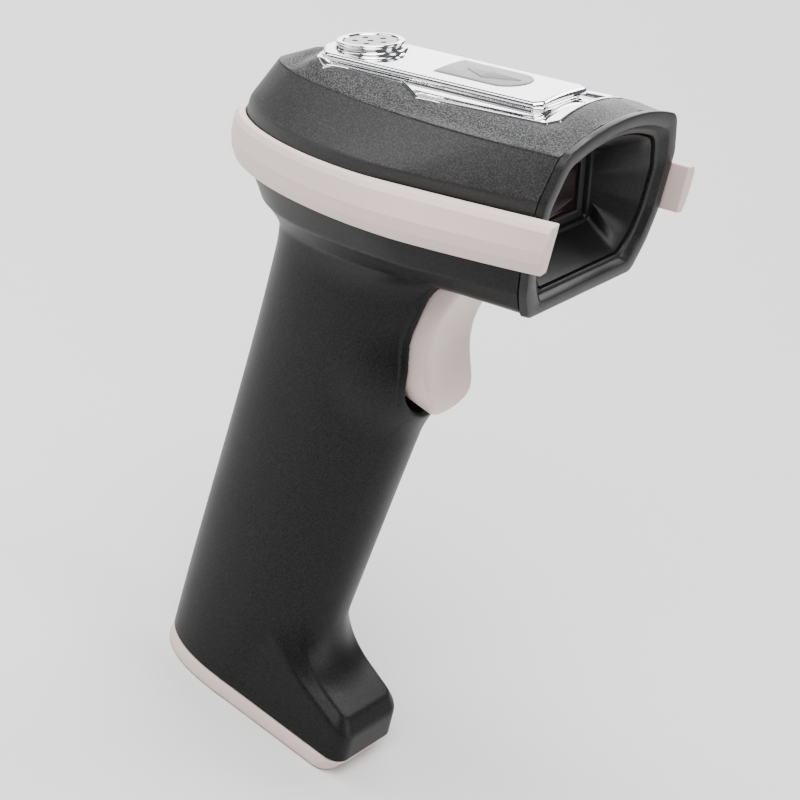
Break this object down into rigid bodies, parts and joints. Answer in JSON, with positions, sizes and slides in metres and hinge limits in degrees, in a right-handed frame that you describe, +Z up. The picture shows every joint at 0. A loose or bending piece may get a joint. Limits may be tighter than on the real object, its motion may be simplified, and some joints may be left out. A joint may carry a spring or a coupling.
{
  "type": "handheld barcode scanner",
  "caption": "Pistol-grip cordless barcode scanner with a hooded nose window, side bumper band, finger trigger and a flat toe foot it stands on.",
  "frame": {"origin": "on the underside of the foot, under the middle of the bounding box", "axes": "+Z up with the foot flat on a table, +X the way the nose looks, +Y the scanner's left side"},
  "size_m": [0.095, 0.0644, 0.1776],
  "materials": {
    "grip_black": "soft-touch, fine grain",
    "cover_black": "grained top, finer on the flanks",
    "bezel_black": "fine spark-eroded grain",
    "shroud_black": "dull, fine grain",
    "blush_soft": "satin elastomer, pale pinkish beige",
    "blush_plastic": "satin, pale pinkish beige",
    "bright_trim": "mirror plated",
    "grille_metal": "satin, perforated",
    "lens_smoke": "satin translucent grey",
    "light_clear": "clear moulding",
    "window_red": "dark tinted, polished",
    "gasket_foam": "closed-cell foam",
    "board_green": "solder resist",
    "chip_black": "moulded package",
    "shield_steel": "tinned shield can",
    "screw_steel": "zinc plated",
    "engine_black": "glass-filled",
    "lens_glass": "coated lens",
    "led_white": "moulded emitter",
    "flex_amber": "polyimide flat cable",
    "cell_wrap": "shrink-wrapped cell",
    "holder_white": "moulded cradle",
    "wire_red": "insulated wire",
    "spring_steel": "bright spring wire",
    "switch_black": "switch housing",
    "plunger_white": "acetal"
  },
  "bodies": {
    "housing": {"body_shell": "grip_black", "head_top_cover": "cover_black", "bumper_band": "blush_soft", "nose_bezel": "bezel_black", "window_shroud": "shroud_black", "scan_window": "window_red", "window_gasket": "gasket_foam", "trim_tray": "bright_trim", "trim_plate": "bright_trim", "indicator_lens": "lens_smoke", "light_guide": "light_clear", "buzzer_ring": "bright_trim", "buzzer_grille": "grille_metal", "buzzer": "chip_black", "main_board": "board_green", "board_chips": "chip_black", "radio_module": "shield_steel", "status_led": "led_white", "board_screws": "screw_steel", "scan_engine": "engine_black", "engine_lens": "lens_glass", "aimer_lamp": "led_white", "engine_bracket": "shield_steel", "engine_screws": "screw_steel", "engine_flex": "flex_amber", "cover_screws": "screw_steel", "base_cap": "blush_plastic", "base_screws": "screw_steel", "charge_port": "shield_steel", "charge_board": "board_green", "battery_cell": "cell_wrap", "battery_holder": "holder_white", "battery_lead": "wire_red", "trigger_pin": "screw_steel", "trigger_spring": "spring_steel", "switch_board": "board_green", "trigger_switch": "switch_black"},
    "trigger": {"trigger": "blush_plastic"},
    "plunger": {"switch_plunger": "plunger_white"}
  },
  "joints": [
    {"name": "trigger_pull", "type": "hinge", "parent": "housing", "child": "trigger", "pos_m": [0.00826, 0, 0.119], "axis": [0, 1, 0], "range_deg": [0, 5], "stiffness_Nm_per_rad": 0.9, "springref_deg": -14.32, "deforming": ["trigger_spring"]},
    {"name": "plunger_press", "type": "slide", "parent": "housing", "child": "plunger", "axis": [-1, 0, 0], "range_m": [0, 0.0012]}
  ],
  "couplings": [
    {"joint": "plunger_press", "follows": "trigger_pull", "m_per_rad": 0.013}
  ]
}
